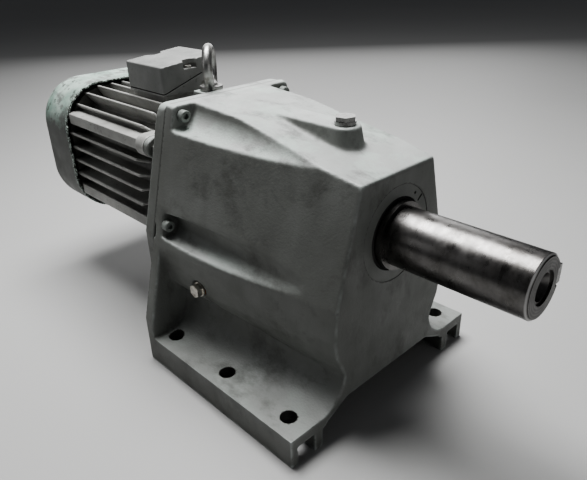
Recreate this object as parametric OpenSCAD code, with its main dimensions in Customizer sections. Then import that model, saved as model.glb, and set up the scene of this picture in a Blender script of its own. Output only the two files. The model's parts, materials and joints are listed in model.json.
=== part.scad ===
// Foot-mounted inline helical gear reducer with its electric motor.
// +X is the output shaft direction, +Z is up, and z = 0 is the foot plane.
// The origin is the centre of the foot bolt pattern.

/* [Output shaft] */
// diameter of the output shaft end
shaft_d = 60; // [56:1:60]
// length of the output shaft end, from its shoulder to its tip
shaft_len = 140; // [110:5:170]
// height of the output shaft above the foot plane
shaft_h = 200; // [200:1:204]

/* [Feet] */
// distance between the two rows of foot holes, across the part
foot_row_gap = 255; // [253:0.5:257]
// distance from one foot hole to the next along a row
foot_hole_step = 98; // [90:1:104]
// diameter of the foot holes
foot_hole_d = 18; // [13:0.5:19]

/* [Motor] */
// width of the motor across its side pads
motor_w = 196; // [194:1:200]
// number of cooling fin places around the motor
fin_places = 32; // [32:4:36]

/* [Hidden] */
$fn = 96;

// main stations along X
front_x = 125;
seam_x = -125;
flange_t = 12;
gasket_t = 0.5;
adapter_x = seam_x - gasket_t;
adapter_t = 15;
stator_front_x = -160;
stator_rear_x = -362;
tip_x = front_x + 7 + shaft_len;

// housing side walls are planes: half width falls with height and toward the front
wall_y0 = 55;
wall_z0 = 266;
wall_slope = 0.265;
wall_taper = 0.161;
wall_tilt = 14.66;
wall_yaw = 9.146;
front_top_z = 265;
knee_x = -40;
knee_z = 297;
rear_top_z = 303;
foot_half = 150;
foot_top_z = 34;
belly_z = 40;
ridge_z = 148;
skin = 9;
top_round = 11;
top_flat = 78;
adapter_half = 124.8;
adapter_low = 92;
adapter_round = 12;

// feet: plate, outer wall and inner rib
foot_in_y = 66;
foot_plate_z = 22;
foot_wall_t = 9;
foot_rib = [106, 118];
blend_r = 39;
blend_y = 73;
blend_turn = 5.48;
arch = [[-105, -1], [105, -1], [100, 25], [68, belly_z], [-68, belly_z], [-100, 25]];

// tool channels in the side walls: where the axis leaves the joint plate, radius there, how much
// the radius grows per mm, fall and turn outward
upper_channel = [seam_x + flange_t, 82.5, 303.8];
upper_channel_r = 27;
upper_channel_grow = 0;
upper_channel_turn = [3.4, -1];
lower_channel = [seam_x + flange_t, 112, 172.9];
lower_channel_r = 14.5;
lower_channel_grow = 0.065;
lower_channel_turn = [1.6, 0.9];
channel_len = 260;

// fittings
plug_r = 8;
plug_x = 57;
rib_half = 15.6;
rib_deep = 30;
rib_draft = 5.7;
rib_z = 296.5;
level_x = -65;
level_y = 106;
level_z = 106;
level_r = 6;
eye_x = -157;
eye_z = 300;
eye_r = 6;
seal_r = 50;
collar_r = 35;

// gear train
centre_dist = 80;
mt = centre_dist / 32;
z_in = 15;
z_mid = 49;
z_pin = 17;
z_out = 47;
helix = 12;
mid_h = shaft_h - centre_dist;
backlash = 0.2;
out_gear_x = 20;
out_gear_w = 40;
in_gear_x = -70;
in_gear_w = 28;
web_x = -32;
web_t = 20;

// bearing sizes: bore, outside diameter, width
b_front = [70, 110, 20];
b_rear = [55, 90, 18];
b_mid_f = [20, 52, 15];
b_mid_r = [30, 62, 16];
b_motor_f = [30, 62, 16];
b_motor_r = [25, 52, 15];
run = 0.03;
seat = 0.01;

// bolts that join the housing to the motor adapter, as [y, z]
bolt_seats = [[74.5, 291.5], [112, 173]];
bolt_seat_r = 13.5;
bolt_r = 4;
bolt_hole_r = 4.5;
bolt_head_r = 6.5;
bolt_head_h = 8;
bolt_socket_af = 6;
tie_y = 89;
tie_dz = 50;
tie_r = 4;
tie_hole_r = 4.4;
tie_boss_r = 13;

// motor
motor_half = motor_w / 2;
motor_top = 87;
fin_t = 3.6;
fin_root = 78;
stator_bore = 70;
fin_front_x = -176;
pad_dz = 51;
pad_half = 7;
core_x0 = -320;
core_x1 = -202;
rotor_r = 46;
box_half = 42;
box_x0 = -280;
box_x1 = -197;
part_z = 307.5;
part_slope = 0.32;
cover_z = 331;
cover_slope = 0.09;
box_floor_z = 292;
box_wall = 4;
lid_screw_in = 5;

// fan cover
cover_a = 104;
cover_b = 92;
cover_r = 60;
cover_rim_x = -355;
cover_end_x = -445.5;
cover_edge = 28;
cover_t = 2.5;
post_y = 60;
post_dz = 50;

iron = [0.52, 0.58, 0.54];
alloy = [0.55, 0.56, 0.55];
steel = [0.72, 0.73, 0.74];
dark = [0.12, 0.12, 0.12];
green = [0.62, 0.72, 0.64];
copper = [0.72, 0.42, 0.22];
brassy = [0.78, 0.66, 0.35];

// ---------- shared shapes ----------

// cylinder along +X from x0 to x1
module rod(x0, x1, r, y = 0, z = shaft_h, r2 = -1) {
  translate([x0, y, z])
    rotate([0, 90, 0])
      cylinder(h = x1 - x0, r1 = r, r2 = r2 < 0 ? r : r2);
}

// cylinder along +Y from y0 to y1
module rod_y(x, y0, y1, z, r) {
  translate([x, y0, z])
    rotate([-90, 0, 0])
      cylinder(h = y1 - y0, r = r);
}

module block(x0, x1, y0, y1, z0, z1) {
  translate([x0, y0, z0])
    cube([x1 - x0, y1 - y0, z1 - z0]);
}

module ring(x0, x1, r_out, r_in, y = 0, z = shaft_h) {
  difference() {
    rod(x0, x1, r_out, y, z);
    rod(x0 - 1, x1 + 1, r_in, y, z);
  }
}

// lays a YZ outline, drawn as [y, z], along +X
module along_x(x0, x1) {
  translate([x0, 0, 0])
    rotate([90, 0, 90])
      linear_extrude(height = x1 - x0)
        children();
}

module both_sides() {
  children();
  mirror([0, 1, 0])
    children();
}

// rounded rectangle centred on the origin, half sizes a and b
module soft_rect(a, b, r) {
  square([2 * (a - r), 2 * b], center = true);
  square([2 * a, 2 * (b - r)], center = true);
  for (sy = [-1, 1])
    for (sz = [-1, 1])
      translate([sy * (a - r), sz * (b - r)])
        circle(r = r);
}

module hexagon(af, h) {
  cylinder(h = h, d = af / cos(30), $fn = 6);
}

// deep groove ball bearing whose rear face is at x
module bearing(size, x, z, balls) {
  ri = size[0] / 2;
  ro = size[1] / 2;
  w = size[2];
  gap = ro - ri;
  mean = (ro + ri) / 2;
  ball = 0.28 * gap;
  lip = 0.2 * gap;
  translate([x, 0, z])
    rotate([0, 90, 0]) {
      rotate_extrude()
        difference() {
          translate([mean + lip, 0])
            square([ro - mean - lip, w]);
          translate([mean, w / 2])
            circle(r = ball + 0.1);
        }
      rotate_extrude()
        difference() {
          translate([ri, 0])
            square([gap / 2 - lip, w]);
          translate([mean, w / 2])
            circle(r = ball + 0.1);
        }
      for (k = [0 : balls - 1])
        rotate([0, 0, 360 * k / balls])
          translate([mean, 0, w / 2])
            sphere(r = ball);
      difference() {
        translate([0, 0, w / 2 - 0.45 * ball])
          difference() {
            cylinder(h = 0.9 * ball, r = mean + 0.6 * lip);
            translate([0, 0, -1])
              cylinder(h = 0.9 * ball + 2, r = mean - 0.6 * lip);
          }
        for (k = [0 : balls - 1])
          rotate([0, 0, 360 * k / balls])
            translate([mean, 0, w / 2])
              sphere(r = ball + 0.15);
      }
    }
}

// involute function and tooth half angle, in degrees
function inv(a) = tan(a) * 180 / PI - a;
function half_angle(r, rb, rp, z) =
  90 / z - backlash / (2 * rp) * 180 / PI + inv(20) - inv(acos(min(1, rb / r)));

// transverse tooth outline with one tooth centred on +X
module teeth_2d(z) {
  rp = z * mt / 2;
  rb = rp * cos(20);
  ra = rp + mt;
  rf = rp - 1.25 * mt;
  low = max(rb, rf);
  steps = [[rf, -half_angle(low, rb, rp, z)], [rp, -half_angle(rp, rb, rp, z)],
    [ra, -half_angle(ra, rb, rp, z)], [ra, half_angle(ra, rb, rp, z)],
    [rp, half_angle(rp, rb, rp, z)], [rf, half_angle(low, rb, rp, z)]];
  polygon([for (k = [0 : z - 1]) for (s = steps)
    s[0] * [cos(360 * k / z + s[1]), sin(360 * k / z + s[1])]]);
}

// helical gear body from x, axis at height zc, hand 1 or -1
module helical(z, x, w, zc, hand, slices) {
  turn = hand * w * tan(helix) / (z * mt / 2) * 180 / PI;
  translate([x, 0, zc])
    rotate([0, 90, 0])
      linear_extrude(height = w, twist = turn, slices = slices, convexity = 6)
        teeth_2d(z);
}

// ---------- gear housing ----------

// everything inside the two drafted side planes, moved inward by inset
module between_walls(inset) {
  reach = 700;
  base_y = wall_y0 + wall_slope * wall_z0 + wall_taper * front_x - inset * 1.047;
  intersection() {
    translate([0, base_y, 0])
      rotate([0, 0, -wall_yaw])
        rotate([wall_tilt, 0, 0])
          translate([-reach, -reach, -reach])
            cube([2 * reach, reach, 2 * reach]);
    mirror([0, 1, 0])
      translate([0, base_y, 0])
        rotate([0, 0, -wall_yaw])
          rotate([wall_tilt, 0, 0])
            translate([-reach, -reach, -reach])
              cube([2 * reach, reach, 2 * reach]);
  }
}

// side view of the housing top, lowered by drop, down to z_low
module top_profile(x0, x1, z_low, drop) {
  slope = (knee_z - front_top_z) / (front_x - knee_x);
  translate([0, foot_half + 10, 0])
    rotate([90, 0, 0])
      linear_extrude(height = 2 * foot_half + 20)
        polygon([[x0, z_low], [x1, z_low],
          [x1, front_top_z + slope * (front_x - x1) - drop],
          [knee_x, knee_z - drop], [seam_x, rear_top_z - drop], [x0, rear_top_z - drop]]);
}

module upper_body() {
  intersection() {
    between_walls(0);
    top_profile(seam_x, front_x, ridge_z - 1, 0);
  }
}

// lower body under the side ridges, narrowing downward and forward
module lower_body() {
  hull() {
    along_x(front_x - 0.5, front_x)
      polygon([[-86, ridge_z], [86, ridge_z], [88, 112], [85, 95], [78, 80], [72, 66],
        [-72, 66], [-78, 80], [-85, 95], [-88, 112]]);
    along_x(seam_x, seam_x + 0.5)
      polygon([[-125, ridge_z], [125, ridge_z], [116, 104], [106, 90],
        [-106, 90], [-116, 104]]);
  }
  hull() {
    along_x(front_x - 0.5, front_x)
      translate([-72, belly_z])
        square([144, 40]);
    along_x(seam_x, seam_x + 0.5)
      translate([-96, belly_z])
        square([192, 60]);
  }
}

// plate between the drafted side planes, down to low, with rounded top corners
module joint_plate(x0, x1, half, low) {
  intersection() {
    between_walls(0);
    along_x(x0, x1) {
      translate([-half, low])
        square([2 * half, rear_top_z - top_round - low]);
      translate([-top_flat, low])
        square([2 * top_flat, rear_top_z - low]);
      for (s = [-1, 1])
        translate([s * top_flat, rear_top_z - top_round])
          circle(r = top_round);
    }
  }
}

// raised rib on the top that carries the vent plug, wider at its foot
module top_rib() {
  low_half = rib_half + rib_draft;
  along_x(seam_x + 1, plug_x)
    polygon([[-low_half, rib_z - rib_deep], [low_half, rib_z - rib_deep],
      [rib_half, rib_z], [-rib_half, rib_z]]);
  translate([plug_x, 0, rib_z - rib_deep])
    cylinder(h = rib_deep, r1 = low_half, r2 = rib_half);
}

module feet() {
  both_sides() {
    block(seam_x, front_x, foot_in_y, foot_half, foot_plate_z, foot_top_z);
    block(seam_x, front_x, foot_half - foot_wall_t, foot_half, 0, foot_top_z);
    block(seam_x, front_x, foot_rib[0], foot_rib[1], 0, foot_top_z);
    block(seam_x, seam_x + flange_t, foot_in_y, foot_half, 0, foot_top_z);
    for (x = [-foot_hole_step / 2, foot_hole_step / 2])
      block(x - 5, x + 5, foot_rib[0], foot_half, 4, foot_top_z);
  }
}

// concave blend between foot plate and body on the +Y side, following the taper in plan
module foot_blend() {
  intersection() {
    translate([front_x, blend_y, foot_top_z])
      rotate([0, 0, -blend_turn])
        rotate([90, 0, -90])
          linear_extrude(height = front_x - seam_x - 1)
            difference() {
              translate([-blend_r, -2])
                square([blend_r + 10, blend_r + 2]);
              translate([-blend_r, blend_r])
                circle(r = blend_r);
            }
    block(seam_x, front_x, 0, foot_half, 0, foot_top_z + blend_r + 1);
  }
}

// round bar or cone from start toward the front, cut flat at x0
module channel(start, r, grow, turn, x0) {
  back = 20;
  intersection() {
    translate(start)
      rotate([0, 90 + turn[0], turn[1]])
        translate([0, 0, -back])
          cylinder(h = channel_len + back, r1 = r - back * grow, r2 = r + channel_len * grow);
    block(x0, front_x + 5, 0, foot_half + 30, ridge_z - 10, 350);
  }
}

// tool channels in the side walls in front of the joint bolts, made larger by extra
module channels(extra) {
  x0 = seam_x + flange_t - extra;
  both_sides() {
    channel(upper_channel, upper_channel_r + extra, upper_channel_grow, upper_channel_turn, x0);
    channel(lower_channel, lower_channel_r + extra, lower_channel_grow, lower_channel_turn, x0);
    for (b = bolt_seats)
      rod(x0, -70, bolt_seat_r + extra, b[0], b[1]);
  }
}

module housing_bores() {
  // output seal, passage and front bearing
  rod(front_x - 12, front_x + 1, seal_r + seat);
  rod(82, front_x, 46);
  rod(81, 106, b_front[1] / 2 + seat);
  // front bearing of the intermediate shaft
  rod(60, 79, b_mid_f[1] / 2 + seat, 0, mid_h);
  // two bearings in the web
  rod(web_x - 1, web_x + b_rear[2], b_rear[1] / 2 + seat);
  rod(web_x - 1, web_x + web_t + 1, b_rear[1] / 2 - 5);
  rod(web_x - 1, web_x + 1 + b_mid_r[2], b_mid_r[1] / 2 + seat, 0, mid_h);
  rod(web_x - 1, web_x + web_t + 1, b_mid_r[1] / 2 - 5, 0, mid_h);
}

module cavity() {
  difference() {
    intersection() {
      between_walls(skin);
      top_profile(seam_x - 1, front_x - 12, 110, skin);
      union() {
        block(seam_x + 11, front_x - 13, -140, 140, ridge_z, 310);
        block(seam_x - 2, seam_x + 12, -92, 92, 116, 280);
      }
    }
    channels(7);
  }
  // sump
  hull() {
    along_x(front_x - 14, front_x - 13)
      polygon([[-75, ridge_z + 1], [75, ridge_z + 1], [75, 112], [62, 76], [62, belly_z + skin],
        [-62, belly_z + skin], [-62, 76], [-75, 112]]);
    along_x(seam_x + 11, seam_x + 12)
      polygon([[-86, ridge_z + 1], [86, ridge_z + 1], [86, belly_z + skin],
        [-86, belly_z + skin]]);
  }
}

module inner_bosses() {
  intersection() {
    union() {
      rod(82, front_x - 5, b_front[1] / 2 + 8);
      rod(64, front_x - 5, b_mid_f[1] / 2 + 8, 0, mid_h);
      block(web_x, web_x + web_t, -58, 58, belly_z + 4, 290);
      block(-5, 70, -4, 4, belly_z + 2, belly_z + skin + 3);
      translate([plug_x, 0, 265])
        cylinder(h = 25, r = 14);
    }
    union() {
      intersection() {
        between_walls(3);
        top_profile(seam_x, front_x - 2, ridge_z, 3);
      }
      block(seam_x, front_x - 2, -70, 70, belly_z + 2, ridge_z + 1);
    }
  }
}

module gear_housing() {
  color(iron)
    difference() {
      union() {
        difference() {
          union() {
            upper_body();
            lower_body();
            joint_plate(seam_x, seam_x + flange_t, foot_half, 0);
            top_rib();
            feet();
            both_sides()
              foot_blend();
            mirror([0, 1, 0])
              rod_y(level_x, 90, level_y, level_z, 13);
          }
          cavity();
        }
        inner_bosses();
      }
      channels(0);
      housing_bores();
      both_sides()
        for (x = [-foot_hole_step, 0, foot_hole_step])
          translate([x, foot_row_gap / 2, -1])
            cylinder(h = foot_top_z + 2, d = foot_hole_d);
      both_sides()
        for (b = bolt_seats)
          rod(seam_x - 1, seam_x + flange_t + 1, bolt_hole_r, b[0], b[1]);
      // vent and level plug threads
      translate([plug_x, 0, 240])
        cylinder(h = 60, r = plug_r + run);
      mirror([0, 1, 0]) {
        rod_y(level_x, 70, level_y + 1, level_z, level_r + run);
        rod_y(level_x, level_y, level_y + 30, level_z, 11);
      }
      // notch for a pry bar in the joint edge
      both_sides()
        block(seam_x - 1, seam_x + 1.2, 116, foot_half, 157, 173);
      // arch between the feet
      along_x(seam_x - 1, front_x + 1)
        polygon(arch);
    }
}

module housing_gasket() {
  color(dark)
    difference() {
      adapter_plate(adapter_x, seam_x);
      along_x(adapter_x - 1, seam_x + 1)
        translate([-92, 112])
          square([184, 168]);
      both_sides()
        for (b = bolt_seats)
          rod(adapter_x - 1, seam_x + 1, bolt_hole_r, b[0], b[1]);
    }
}

// ---------- motor adapter ----------

// plate of the adapter: drafted sides, upright below, with rounded corners
module adapter_plate(x0, x1) {
  difference() {
    joint_plate(x0, x1, adapter_half, adapter_low);
    along_x(x0 - 1, x1 + 1)
      for (s = [-1, 1])
        difference() {
          translate([s * adapter_half, adapter_low])
            square(2 * adapter_round, center = true);
          translate([s * (adapter_half - adapter_round), adapter_low + adapter_round])
            circle(r = adapter_round);
        }
  }
}

module tie_places() {
  for (sy = [-1, 1])
    for (sz = [-1, 1])
      translate([0, sy * tie_y, shaft_h + sz * tie_dz])
        children();
}

module motor_adapter() {
  color(iron)
    difference() {
      union() {
        adapter_plate(adapter_x - adapter_t, adapter_x);
        rod(stator_front_x, adapter_x - adapter_t + 1, 86);
        rod(stator_front_x - 6, stator_front_x + 1, stator_bore - seat);
        tie_places()
          rotate([0, 90, 0])
            translate([0, 0, stator_front_x])
              cylinder(h = 10, r = tie_boss_r);
        for (sz = [-1, 1])
          block(stator_front_x, stator_front_x + 10, -tie_y, tie_y,
            shaft_h + sz * tie_dz - tie_boss_r, shaft_h + sz * tie_dz + tie_boss_r);
        // pad for the lifting eye
        block(eye_x - 14, adapter_x - adapter_t + 1, -17, 17, 286.5, eye_z);
        block(stator_front_x, adapter_x - adapter_t + 1, -17, 17, 270, 290);
      }
      // bearing seat, open toward the motor, and the seal seat on the gear side
      rod(stator_front_x - 7, -142, b_motor_f[1] / 2 + seat);
      rod(-143, -132, 24);
      rod(-135, adapter_x + 1, 26 + seat);
      // hollow around the bearing hub on the motor side
      difference() {
        rod(stator_front_x - 7, -150, 62);
        rod(stator_front_x - 8, -149, 40);
      }
      both_sides()
        for (b = bolt_seats)
          rod(adapter_x - adapter_t - 1, adapter_x + 1, bolt_r + run, b[0], b[1]);
      tie_places()
        rotate([0, 90, 0])
          translate([0, 0, stator_front_x - 1])
            cylinder(h = 12, r = tie_hole_r);
      translate([eye_x, 0, eye_z - 14])
        cylinder(h = 20, r = eye_r + run);
    }
}

module adapter_screws() {
  head_x = seam_x + flange_t;
  color(steel)
    both_sides()
      for (b = bolt_seats)
        translate([0, b[0], b[1]])
          difference() {
            union() {
              rod(adapter_x - adapter_t + 1, head_x, bolt_r, 0, 0);
              rod(head_x, head_x + bolt_head_h - 1, bolt_head_r, 0, 0);
              rod(head_x + bolt_head_h - 1, head_x + bolt_head_h, bolt_head_r, 0, 0,
                bolt_head_r - 0.7);
            }
            translate([head_x + bolt_head_h / 2, 0, 0])
              rotate([0, 90, 0])
                hexagon(bolt_socket_af, bolt_head_h);
          }
}

// ---------- output shaft ----------

module output_shaft() {
  r = shaft_d / 2;
  chamfer = 2.5;
  color(steel)
    difference() {
      union() {
        rod(front_x + 6, tip_x - chamfer, r);
        rod(tip_x - chamfer, tip_x, r, 0, shaft_h, r - chamfer);
        rod(86, front_x + 7, collar_r - run);
        rod(-10, 86.5, 33);
        rod(8, out_gear_x, 38);
        rod(web_x, -9, b_rear[0] / 2 - run);
      }
      // keyway for the coupling, open at the tip
      block(front_x + 7 + 20, tip_x + 1, r - 7, r + 10, shaft_h - 9, shaft_h + 9);
      rod_y(front_x + 7 + 20, r - 7, r + 10, shaft_h, 9);
      // keyway under the output gear
      block(23, 57, -9, 9, shaft_h + 33 - 7, shaft_h + 40);
      // centre hole: thread, countersink and shallow recess
      rod(tip_x - 50, tip_x + 1, 10);
      rod(tip_x - 8, tip_x - 2, 10.2, 0, shaft_h, 13);
      rod(tip_x - 2, tip_x + 1, 16);
    }
}

module output_key() {
  r = shaft_d / 2;
  color(steel)
    union() {
      block(front_x + 7 + 20, tip_x - 1.5, r - 7, r + 4, shaft_h - 9, shaft_h + 9);
      rod_y(front_x + 7 + 20, r - 7, r + 4, shaft_h, 9);
    }
}

module output_gear() {
  color(steel)
    difference() {
      helical(z_out, out_gear_x, out_gear_w, shaft_h, 1, 5);
      rod(out_gear_x - 1, out_gear_x + out_gear_w + 1, 33);
      block(out_gear_x - 1, out_gear_x + out_gear_w + 1, -9, 9, shaft_h + 30, shaft_h + 37.2);
      for (side = [out_gear_x - 1, out_gear_x + out_gear_w - 6])
        ring(side, side + 7, 51, 41);
    }
}

module output_gear_key() {
  color(steel)
    block(23, 57, -9, 9, shaft_h + 26, shaft_h + 37);
}

module output_spacer() {
  color(steel)
    ring(out_gear_x + out_gear_w, 85.7, 39, 33 + seat);
}

module output_front_bearing() {
  color(steel)
    bearing(b_front, 86, shaft_h, 13);
}

module output_rear_bearing() {
  color(steel)
    bearing(b_rear, web_x, shaft_h, 13);
}

module output_seal() {
  color(iron)
    difference() {
      ring(front_x - 12, front_x - 0.5, seal_r, collar_r + run);
      ring(front_x - 4, front_x, 38, 30);
      // drilled mark and slot in the rim
      rod(front_x - 2, front_x, 1.5, 27, shaft_h + 35);
      translate([0, 0, shaft_h])
        rotate([38, 0, 0])
          block(front_x - 2, front_x, 41, 49, -1.2, 1.2);
    }
}

// ---------- intermediate shaft ----------

module intermediate_shaft() {
  color(steel)
    difference() {
      union() {
        helical(z_pin, out_gear_x, out_gear_w, mid_h, -1, 5);
        rod(-14.5, out_gear_x + 0.5, 17.2, 0, mid_h);
        rod(out_gear_x + out_gear_w - 0.5, 63.7, 15, 0, mid_h);
        rod(63.2, 79, b_mid_f[0] / 2 - run, 0, mid_h);
        rod(-76, -14, b_mid_r[0] / 2 - run, 0, mid_h);
      }
      block(-68, -44, -4, 4, mid_h + 15 - 4, mid_h + 20);
      ring(-72, -70.2, 20, 14.2, 0, mid_h);
    }
}

module intermediate_gear() {
  color(steel)
    difference() {
      union() {
        helical(z_mid, in_gear_x, in_gear_w, mid_h, -1, 4);
        rod(in_gear_x + in_gear_w - 0.5, -31.5, 24, 0, mid_h);
      }
      rod(in_gear_x - 1, -31, 15, 0, mid_h);
      block(in_gear_x - 1, -31, -4, 4, mid_h + 10, mid_h + 18.2);
      for (side = [in_gear_x - 1, in_gear_x + in_gear_w - 5])
        ring(side, side + 6, 53, 28, 0, mid_h);
    }
}

module intermediate_key() {
  color(steel)
    block(-68, -44, -4, 4, mid_h + 11, mid_h + 18);
}

module intermediate_front_bearing() {
  color(steel)
    bearing(b_mid_f, 64, mid_h, 8);
}

module intermediate_rear_bearing() {
  color(steel)
    bearing(b_mid_r, web_x + 1, mid_h, 9);
}

// split ring in a shaft groove
module circlip(x0, x1, r_out, r_in, zc) {
  difference() {
    ring(x0, x1, r_out, r_in, 0, zc);
    block(x0 - 1, x1 + 1, -3, 3, zc - r_out - 1, zc - r_in + 3);
  }
}

module intermediate_circlip() {
  color(steel)
    circlip(-71.9, -70.3, 19, 14.2, mid_h);
}

// ---------- rotor ----------

module motor_shaft() {
  color(steel)
    difference() {
      union() {
        rod(-120, in_gear_x + in_gear_w - 2, 12);
        rod(-159, -119.5, 15 - run);
        rod(-348.5, -158.5, 19);
        rod(-372, -348, b_motor_r[0] / 2 - run);
        rod(-432, -371.5, 11);
      }
      block(-68, -46, -4, 4, shaft_h + 8, shaft_h + 20);
      ring(-430, -428.3, 20, 10.2);
    }
}

module input_pinion() {
  color(steel)
    difference() {
      helical(z_in, in_gear_x, in_gear_w, shaft_h, 1, 4);
      rod(in_gear_x - 1, in_gear_x + in_gear_w + 1, 12 + seat);
      block(-68, -46, -4, 4, shaft_h + 8, shaft_h + 13.7);
    }
}

module input_pinion_key() {
  color(steel)
    block(-68, -46, -4, 4, shaft_h + 8, shaft_h + 13.5);
}

module rotor_core() {
  color(alloy)
    union() {
      ring(core_x0 - 2, core_x1 + 2, rotor_r, 19);
      for (side = [core_x0 - 14, core_x1 + 2])
        ring(side, side + 12, 42, 30);
      for (k = [0 : 7])
        translate([0, 0, shaft_h])
          rotate([45 * k, 0, 0])
            for (side = [-340, -188])
              block(side, side + 6, 33, 40, -1.5, 1.5);
    }
}

module motor_front_bearing() {
  color(steel)
    bearing(b_motor_f, -158, shaft_h, 9);
}

module motor_rear_bearing() {
  color(steel)
    bearing(b_motor_r, -364, shaft_h, 9);
}

module motor_seal() {
  color(dark)
    ring(-134, -126.5, 26, 15 + 0.05);
}

module wave_washer() {
  color(steel)
    ring(-366.5, -365, 25.5, 20);
}

// ---------- motor ----------

module motor_outline() {
  soft_rect(motor_half, motor_top, 60);
}

module pads(x0, x1, half, low) {
  for (sz = [-1, 1])
    block(x0, x1, -half, half, shaft_h + sz * low - pad_half, shaft_h + sz * low + pad_half);
}

module stator_housing() {
  color(alloy)
    difference() {
      union() {
        rod(stator_rear_x, stator_front_x, fin_root);
        intersection() {
          for (k = [0 : fin_places / 2 - 1])
            translate([0, 0, shaft_h])
              rotate([(k + 0.5) * 360 / fin_places, 0, 0])
                block(stator_rear_x, fin_front_x, -140, 140, -fin_t / 2, fin_t / 2);
          translate([0, 0, shaft_h])
            along_x(stator_rear_x, fin_front_x)
              motor_outline();
          union() {
            rod(stator_rear_x - 1, -200, 140);
            rod(-200.01, fin_front_x + 1, 118, 0, shaft_h, 84);
          }
        }
        pads(stator_rear_x, cover_rim_x + 1, motor_half - 4, pad_dz);
        pads(cover_rim_x + 0.5, -172, motor_half, pad_dz);
        rod(fin_front_x, stator_front_x, 85);
        tie_places()
          rotate([0, 90, 0])
            translate([0, 0, -177])
              cylinder(h = 17, r = tie_boss_r);
        for (sz = [-1, 1])
          block(fin_front_x - 1, stator_front_x, -tie_y, tie_y,
            shaft_h + sz * tie_dz - tie_boss_r, shaft_h + sz * tie_dz + tie_boss_r);
        // seat for the terminal box
        block(box_x0 + 3, box_x1 - 3, -box_half + 4, box_half - 4, 262, box_floor_z);
      }
      rod(stator_rear_x - 1, stator_front_x + 1, stator_bore);
      tie_places()
        rotate([0, 90, 0])
          translate([0, 0, stator_rear_x - 1])
            cylinder(h = 210, r = tie_hole_r);
      // wire passage into the terminal box
      block(box_x0 + 20, box_x1 - 20, -20, 20, 230, 300);
    }
}

module stator_core() {
  slots = 24;
  color(dark)
    difference() {
      ring(core_x0, core_x1, stator_bore - seat, rotor_r + 0.6);
      for (k = [0 : slots - 1])
        translate([0, 0, shaft_h])
          rotate([360 * k / slots, 0, 0])
            block(core_x0 - 1, core_x1 + 1, rotor_r - 1, 60, -3, 3);
    }
}

module stator_winding() {
  color(copper)
    for (side = [core_x0 - 20, core_x1 + 2])
      ring(side, side + 18, 62, 49);
}

module rear_endshield() {
  color(alloy)
    difference() {
      union() {
        translate([0, 0, shaft_h])
          along_x(-374, stator_rear_x)
            soft_rect(motor_half - 3, motor_top - 3, 58);
        rod(stator_rear_x - 1, stator_rear_x + 7, stator_bore - seat);
        rod(-378, -350, 34);
        // posts that carry the fan cover
        for (sy = [-1, 1])
          for (sz = [-1, 1])
            rod(cover_end_x + 2.6, -373, 6, sy * post_y, shaft_h + sz * post_dz);
      }
      rod(-366.6, -340, b_motor_r[1] / 2 + seat);
      rod(-380, -360, 20);
      difference() {
        rod(-357, -340, 60);
        rod(-358, -339, 34);
      }
      tie_places()
        rotate([0, 90, 0])
          translate([0, 0, -375])
            cylinder(h = 14, r = tie_hole_r);
      for (sy = [-1, 1])
        for (sz = [-1, 1])
          rod(cover_end_x, cover_end_x + 20, 2.5 + run, sy * post_y, shaft_h + sz * post_dz);
    }
}

module tie_bolts() {
  color(steel)
    tie_places()
      rotate([0, 90, 0]) {
        translate([0, 0, -379.5])
          hexagon(13, 5.5);
        translate([0, 0, -374.5])
          cylinder(h = 230.5, r = tie_r);
        translate([0, 0, -150])
          hexagon(13, 6);
      }
}

module fan() {
  color(dark)
    difference() {
      union() {
        rod(-428, -396, 18);
        ring(-402, -398, 68, 17);
        for (k = [0 : 6])
          translate([0, 0, shaft_h])
            rotate([360 * k / 7, 0, 0])
              block(-426, -399, 16, 68, -1.6, 1.6);
      }
      rod(-429, -395, 11 + seat);
    }
}

module fan_circlip() {
  color(steel)
    circlip(-429.9, -428.4, 15, 10.2, shaft_h);
}

// solid cup with rounded rear edges, shrunk by t
module cup(t) {
  r = cover_r - t;
  e = cover_edge - t;
  hull()
    for (sy = [-1, 1])
      for (sz = [-1, 1])
        translate([cover_end_x + t, sy * (cover_a - cover_r), shaft_h + sz * (cover_b - cover_r)])
          rotate([0, 90, 0])
            rotate_extrude($fn = 40) {
              square([r - e, e]);
              translate([r - e, e])
                intersection() {
                  circle(r = e, $fn = 40);
                  translate([0, -e])
                    square([e, e]);
                }
              translate([0, e])
                square([r, cover_rim_x - cover_end_x - t - e + (t > 0 ? 1 : 0)]);
            }
}

module fan_cover() {
  color(green)
    difference() {
      cup(0);
      cup(cover_t);
      for (k = [-4 : 4])
        block(cover_end_x - 1, cover_end_x + 10, k * 14 - 3.5, k * 14 + 3.5,
          shaft_h - 62 + abs(k) * 5, shaft_h + 62 - abs(k) * 5);
      for (sy = [-1, 1])
        for (sz = [-1, 1])
          rod(cover_end_x - 1, cover_end_x + 10, 2.9, sy * post_y, shaft_h + sz * post_dz);
    }
}

module fan_cover_screws() {
  color(steel)
    for (sy = [-1, 1])
      for (sz = [-1, 1])
        translate([0, sy * post_y, shaft_h + sz * post_dz])
          rotate([0, 90, 0])
            difference() {
              union() {
                translate([0, 0, cover_end_x - 2.8])
                  cylinder(h = 2.8, r = 4.6);
                translate([0, 0, cover_end_x - 0.5])
                  cylinder(h = 16, r = 2.5);
              }
              translate([-0.6, -5, cover_end_x - 3.8])
                cube([1.2, 10, 2.2]);
            }
}

// ---------- terminal box ----------

// region under a plane that rises toward +Y, used to split the box
module below_plane(z_mid_plane, slope) {
  rotate([90, 0, 90])
    translate([0, 0, box_x0 - 10])
      linear_extrude(height = box_x1 - box_x0 + 20)
        polygon([[-60, 200], [60, 200], [60, z_mid_plane + 60 * slope],
          [-60, z_mid_plane - 60 * slope]]);
}

module box_plan(inset) {
  translate([(box_x0 + box_x1) / 2, 0])
    soft_rect((box_x1 - box_x0) / 2 - inset, box_half - inset, 4 - min(inset, 2));
}

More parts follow.
